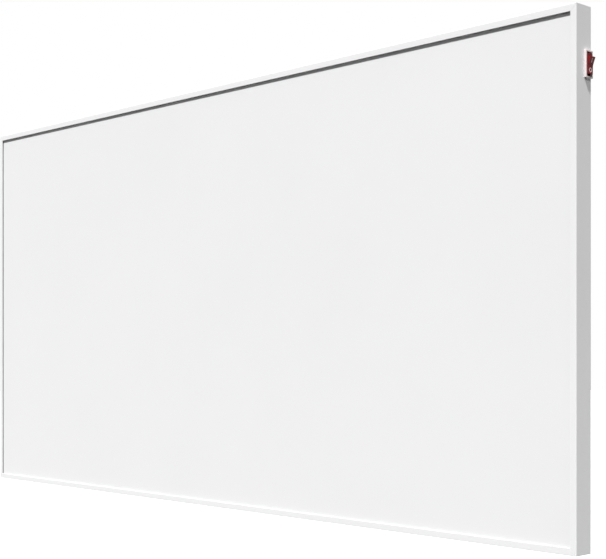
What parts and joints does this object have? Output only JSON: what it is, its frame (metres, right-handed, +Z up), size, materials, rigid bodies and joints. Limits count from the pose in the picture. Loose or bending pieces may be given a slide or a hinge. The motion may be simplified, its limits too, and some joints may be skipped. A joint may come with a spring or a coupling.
{
  "type": "infrared panel heater",
  "caption": "Flat wall-hung infrared heater: a white plate in a mitred frame, a rocker switch in one side, wall brackets and a cable box behind.",
  "frame": {"origin": "on the wall plane, behind the centre of the panel", "axes": "+X to the right of someone facing the heater, +Y into the wall, +Z up"},
  "size_m": [1.2075, 0.052, 0.6],
  "materials": {
    "frame_white": "white satin powder coat on aluminium",
    "plate_white": "white matt coating, lightly textured",
    "gasket_silicone": "matt silicone",
    "zinc_steel": "zinc plated sheet steel",
    "cast_zinc": "die cast, as cast",
    "heating_laminate": "glass fibre laminate",
    "copper": "tinned copper",
    "reflector": "bright foil",
    "mineral_wool": "pressed mineral wool",
    "black_plastic": "moulded, fine grain",
    "grey_plastic": "moulded",
    "white_nylon": "moulded white nylon",
    "red_rocker": "translucent red polycarbonate",
    "black_rubber": "matt rubber",
    "brass": "bright",
    "spring_steel": "drawn wire",
    "lamp_glass": "clear glass",
    "wire_brown": "brown silicone insulation",
    "wire_blue": "blue silicone insulation",
    "wire_green": "green silicone insulation"
  },
  "bodies": {
    "casing": {"back_plate": "zinc_steel", "bracket_screw_bottom_left_a": "zinc_steel", "bracket_screw_bottom_left_b": "zinc_steel", "bracket_screw_bottom_right_a": "zinc_steel", "bracket_screw_bottom_right_b": "zinc_steel", "bracket_screw_top_left_a": "zinc_steel", "bracket_screw_top_left_b": "zinc_steel", "bracket_screw_top_right_a": "zinc_steel", "bracket_screw_top_right_b": "zinc_steel", "busbar_left": "copper", "busbar_right": "copper", "cable_box": "black_plastic", "cable_box_lid": "black_plastic", "corner_key_bottom_left": "cast_zinc", "corner_key_bottom_right": "cast_zinc", "corner_key_top_left": "cast_zinc", "corner_key_top_right": "cast_zinc", "earth_screw": "brass", "edge_gasket_bottom": "gasket_silicone", "edge_gasket_left": "gasket_silicone", "edge_gasket_right": "gasket_silicone", "edge_gasket_top": "gasket_silicone", "frame_bottom": "frame_white", "frame_left": "frame_white", "frame_right": "frame_white", "frame_top": "frame_white", "front_plate": "plate_white", "gland_body": "black_plastic", "gland_locknut": "black_plastic", "gland_nut": "black_plastic", "gland_seal": "black_rubber", "heating_board": "heating_laminate", "insulation_board": "mineral_wool", "lid_screw_lower": "zinc_steel", "lid_screw_upper": "zinc_steel", "neon_lamp": "lamp_glass", "reflector_foil": "reflector", "switch_housing": "white_nylon", "switch_terminal_lamp": "brass", "switch_terminal_load": "brass", "switch_terminal_supply": "brass", "terminal_block": "grey_plastic", "thermal_cutout_lower": "black_plastic", "thermal_cutout_upper": "black_plastic", "wall_bracket_bottom_left": "zinc_steel", "wall_bracket_bottom_right": "zinc_steel", "wall_bracket_top_left": "zinc_steel", "wall_bracket_top_right": "zinc_steel", "wire_board_feed": "wire_brown", "wire_cutout_link": "wire_brown", "wire_earth": "wire_green", "wire_grommet": "black_rubber", "wire_lamp_neutral": "wire_blue", "wire_live_in": "wire_brown", "wire_neutral": "wire_blue", "wire_switched_live": "wire_brown"},
    "rocker_button": {"rocker": "red_rocker", "rocker_plunger": "black_plastic", "rocker_spring": "spring_steel"},
    "lever": {"contact_lever": "copper"}
  },
  "joints": [
    {"name": "rocker_tilt", "type": "hinge", "parent": "casing", "child": "rocker_button", "pos_m": [0.597, -0.031, 0.236], "axis": [0, -1, 0], "range_deg": [0, 21]},
    {"name": "contact_tilt", "type": "hinge", "parent": "casing", "child": "lever", "pos_m": [0.5868, -0.031, 0.236], "axis": [0, 1, 0], "range_deg": [0, 12]}
  ],
  "couplings": [
    {"joint": "contact_tilt", "follows": "rocker_tilt", "ratio": 0.5714}
  ]
}
